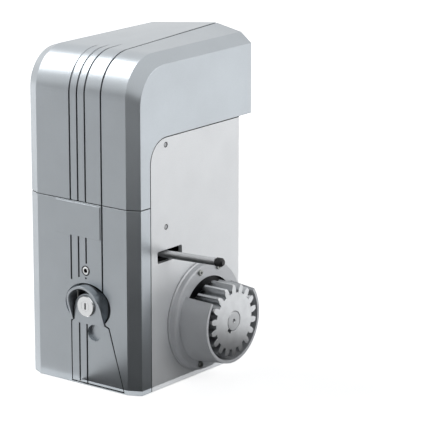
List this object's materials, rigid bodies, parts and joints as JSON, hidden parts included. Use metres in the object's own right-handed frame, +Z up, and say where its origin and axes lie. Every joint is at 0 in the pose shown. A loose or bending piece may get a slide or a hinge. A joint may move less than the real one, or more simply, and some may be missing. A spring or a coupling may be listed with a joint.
{
  "type": "sliding gate motor",
  "caption": "Sliding gate operator: silver-grey upright housing with arched top, locked release door, sprung limit lever and a rack pinion in a cut-away guard.",
  "frame": {"origin": "centre of the rectangle of the four foundation bolts, on the ground under the foot plate", "axes": "+X towards the gate, out of the pinion side; +Y away from the lock face, towards the back; +Z up"},
  "size_m": [0.2155, 0.207, 0.3665],
  "materials": {
    "case_paint": "satin silver-grey paint",
    "cover_paint": "satin silver-grey moulding",
    "lock_chrome": "polished",
    "pinion_steel": "machined",
    "worm_steel": "ground",
    "wheel_bronze": "cast bronze",
    "bearing_steel": "ground",
    "spring_steel": "blackened",
    "zinc_steel": "zinc plated",
    "screw_steel": "zinc plated",
    "seal_rubber": "moulded",
    "core_steel": "varnished sheet",
    "winding_copper": "enamelled wire",
    "shield_alloy": "die cast",
    "black_plastic": "moulded",
    "board_green": "lacquered laminate",
    "terminal_green": "moulded"
  },
  "bodies": {
    "housing": {"bearing_circlip": "bearing_steel", "board_heat_sink": "shield_alloy", "board_relays": "black_plastic", "board_standoffs": "black_plastic", "board_tray": "zinc_steel", "cable_grommet": "seal_rubber", "capacitor_clamp": "zinc_steel", "cheek_plugs": "seal_rubber", "control_board": "board_green", "cover_screw": "screw_steel", "cover_screw_ring": "seal_rubber", "door_hinge_pins": "worm_steel", "drain_plug": "screw_steel", "equipment_bracket": "zinc_steel", "gearbox_cover": "case_paint", "gearbox_cover_screws": "screw_steel", "gearbox_housing": "case_paint", "guard_screws": "screw_steel", "limit_pivot_pin": "worm_steel", "limit_return_spring": "spring_steel", "limit_sensors": "black_plastic", "limit_switch_body": "black_plastic", "lower_front_cover": "cover_paint", "motor_bearing": "bearing_steel", "motor_lower_shield": "shield_alloy", "motor_stator": "core_steel", "motor_tie_screws": "screw_steel", "motor_upper_shield": "shield_alloy", "motor_windings": "winding_copper", "output_bearing_left": "bearing_steel", "output_bearing_right": "bearing_steel", "pinion_guard": "case_paint", "radio_receiver": "black_plastic", "release_post": "worm_steel", "run_capacitor": "shield_alloy", "shaft_seal": "seal_rubber", "terminal_blocks": "terminal_green", "transformer_coil": "winding_copper", "transformer_core": "core_steel", "worm_bearing_lower": "bearing_steel", "worm_bearing_upper": "bearing_steel"},
    "drive": {"output_shaft": "pinion_steel", "pinion": "pinion_steel", "pinion_key": "pinion_steel", "clutch_key": "pinion_steel"},
    "sleeve": {"clutch_sleeve": "pinion_steel"},
    "wheel": {"worm_wheel": "wheel_bronze"},
    "rotor": {"worm_shaft": "worm_steel", "motor_rotor": "core_steel", "motor_fan": "black_plastic"},
    "door": {"release_door": "cover_paint", "door_cam": "zinc_steel", "lock_barrel": "lock_chrome"},
    "lock": {"lock_plug": "lock_chrome", "lock_cam": "zinc_steel"},
    "fork": {"release_lever": "zinc_steel"},
    "limit": {"limit_lever_hub": "black_plastic", "limit_spring_rod": "spring_steel", "limit_rod_tip": "black_plastic"},
    "cover": {"upper_cover": "cover_paint"}
  },
  "joints": [
    {"name": "output_turn", "type": "hinge", "parent": "housing", "child": "drive", "pos_m": [0, 0.022, 0.0655], "axis": [1, 0, 0], "continuous": true},
    {"name": "wheel_turn", "type": "hinge", "parent": "housing", "child": "wheel", "pos_m": [-0.015, 0.022, 0.0655], "axis": [1, 0, 0], "continuous": true},
    {"name": "motor_turn", "type": "hinge", "parent": "housing", "child": "rotor", "pos_m": [-0.015, -0.033, 0.12], "axis": [0, 0, 1], "continuous": true},
    {"name": "clutch_slide", "type": "slide", "parent": "drive", "child": "sleeve", "axis": [1, 0, 0], "range_m": [0, 0.006]},
    {"name": "door_swing", "type": "hinge", "parent": "housing", "child": "door", "pos_m": [-0.0078, -0.087, 0.05], "axis": [0, 0, -1], "range_deg": [0, 75]},
    {"name": "lock_turn", "type": "hinge", "parent": "door", "child": "lock", "pos_m": [0.0053, -0.08, 0.088], "axis": [0, -1, 0], "range_deg": [0, 90]},
    {"name": "fork_swing", "type": "hinge", "parent": "housing", "child": "fork", "pos_m": [0.02, -0.04, 0.0655], "axis": [0, 0, -1], "range_deg": [0, 8]},
    {"name": "limit_swing", "type": "hinge", "parent": "housing", "child": "limit", "pos_m": [0.05, -0.039, 0.14465], "axis": [0, 0, 1], "range_deg": [-22, 22], "stiffness_Nm_per_rad": 0.4},
    {"name": "cover_lift", "type": "slide", "parent": "housing", "child": "cover", "axis": [0, 0, 1], "range_m": [0, 0.25]}
  ],
  "couplings": [
    {"joint": "wheel_turn", "follows": "output_turn", "ratio": 1},
    {"joint": "motor_turn", "follows": "output_turn", "ratio": 32},
    {"joint": "fork_swing", "follows": "door_swing", "ratio": 0.10667},
    {"joint": "clutch_slide", "follows": "door_swing", "m_per_rad": 0.0045073}
  ]
}
